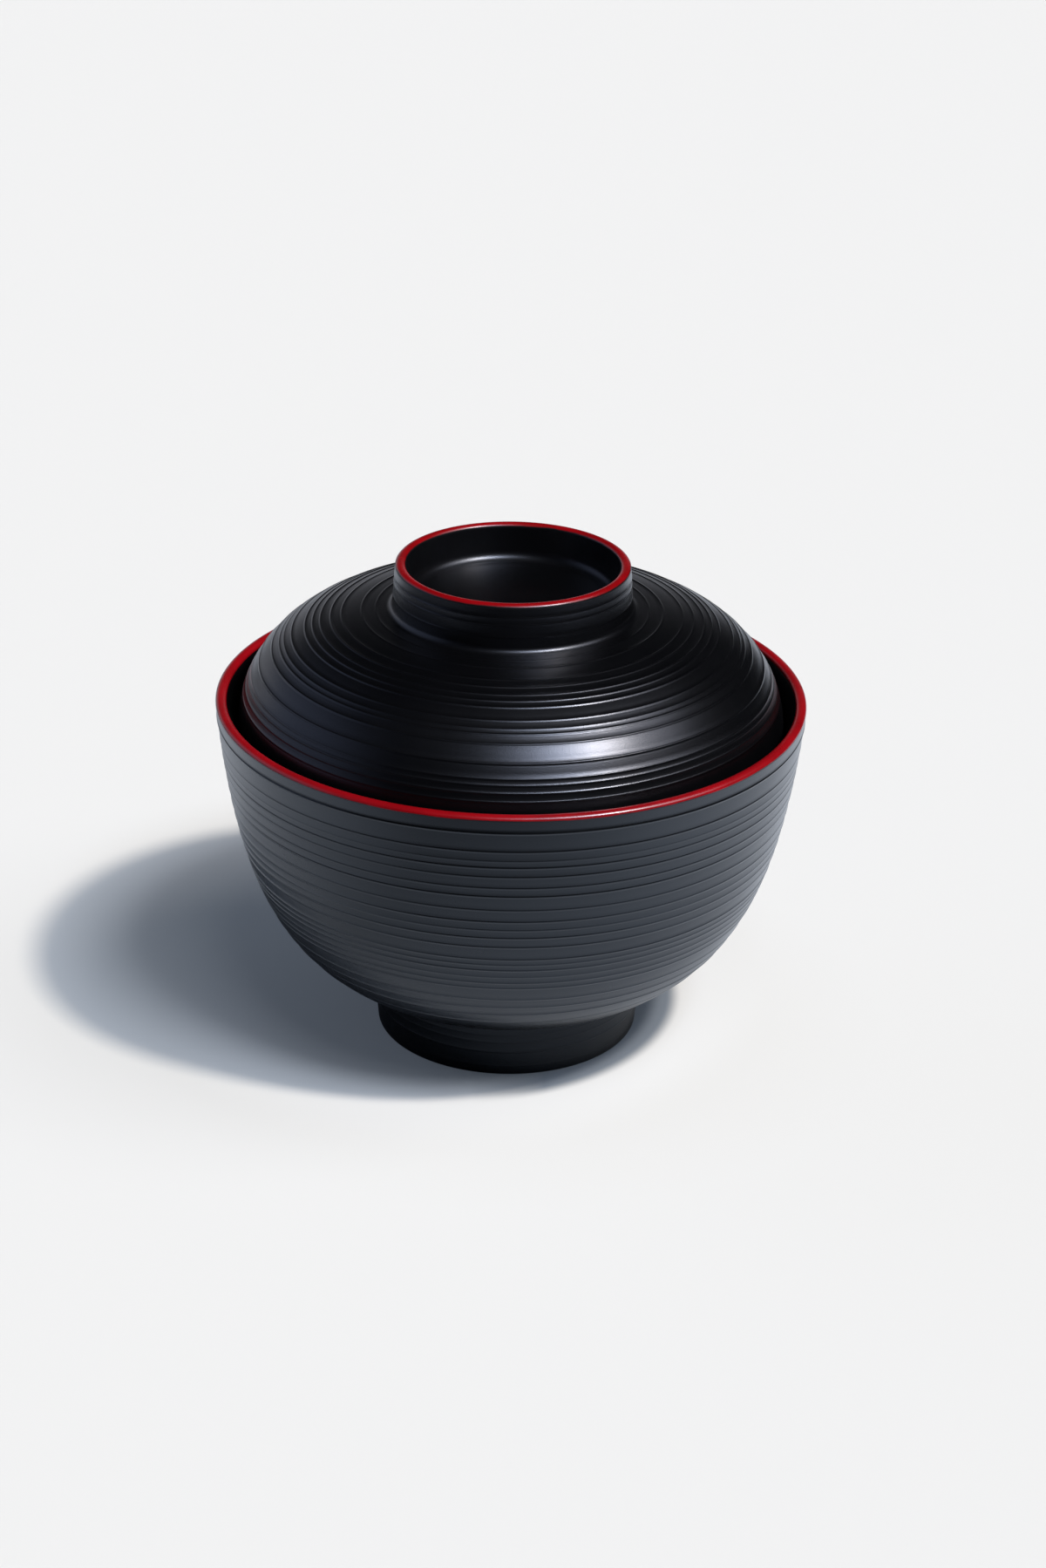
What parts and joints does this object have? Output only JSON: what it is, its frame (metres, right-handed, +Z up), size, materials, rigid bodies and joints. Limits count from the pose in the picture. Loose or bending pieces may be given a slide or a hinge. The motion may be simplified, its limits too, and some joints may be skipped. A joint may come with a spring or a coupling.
{
  "type": "lidded soup bowl",
  "caption": "Round lacquer soup bowl on a ring foot, with a domed lid that drops inside its lip and carries a ring; fine turned lines, red lips.",
  "frame": {"origin": "centre of the circle that the foot stands on, on the axis of turning", "axes": "+Z up along the axis of turning; the part is round, so X and Y are free"},
  "size_m": [0.12, 0.12, 0.1024],
  "materials": {
    "black_lacquer": "satin",
    "red_lacquer": "gloss"
  },
  "bodies": {
    "bowl_body": {"bowl": "black_lacquer", "bowl_lip_lacquer": "red_lacquer"},
    "lid_body": {"lid": "black_lacquer", "lid_ring_lacquer": "red_lacquer"}
  },
  "joints": [
    {"name": "lid_lift", "type": "slide", "parent": "bowl_body", "child": "lid_body", "axis": [0, 0, 1], "range_m": [0, 0.1]}
  ]
}
